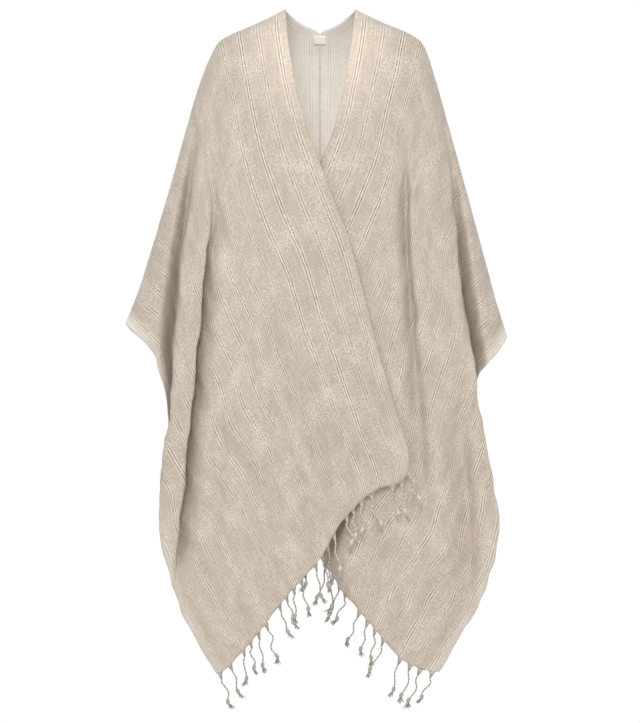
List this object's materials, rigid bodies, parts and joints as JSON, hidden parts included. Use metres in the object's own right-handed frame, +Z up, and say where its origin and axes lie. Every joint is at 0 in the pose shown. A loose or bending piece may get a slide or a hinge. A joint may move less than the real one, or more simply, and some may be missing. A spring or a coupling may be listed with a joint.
{
  "type": "open-front striped linen poncho wrap with knotted fringes",
  "caption": "Loose open-front poncho wrap of striped linen, right front lapped over left, draped over shoulders and arms, with knotted fringes along its slanting hems.",
  "frame": {"origin": "midway between the two points where the cloth leaves the sides of the neck, level with them", "axes": "+Z up along the wearer's neck, -Y to the front of the garment, +X to the wearer's left"},
  "size_m": [0.7259, 0.2867, 1.3098],
  "materials": {
    "panel_right": "striped linen, satin flecks",
    "panel_left": "striped linen, satin flecks",
    "fringe_front_right": "twisted knotted cords",
    "fringe_front_left": "twisted knotted cords",
    "fringe_back_right": "twisted knotted cords",
    "fringe_back_left": "twisted knotted cords",
    "neck_label": "plain woven tape"
  },
  "bodies": {
    "root": {"panel_right": "panel_right", "panel_left": "panel_left", "fringe_front_right": "fringe_front_right", "fringe_front_left": "fringe_front_left", "fringe_back_right": "fringe_back_right", "fringe_back_left": "fringe_back_left", "neck_label": "neck_label"}
  },
  "joints": []
}
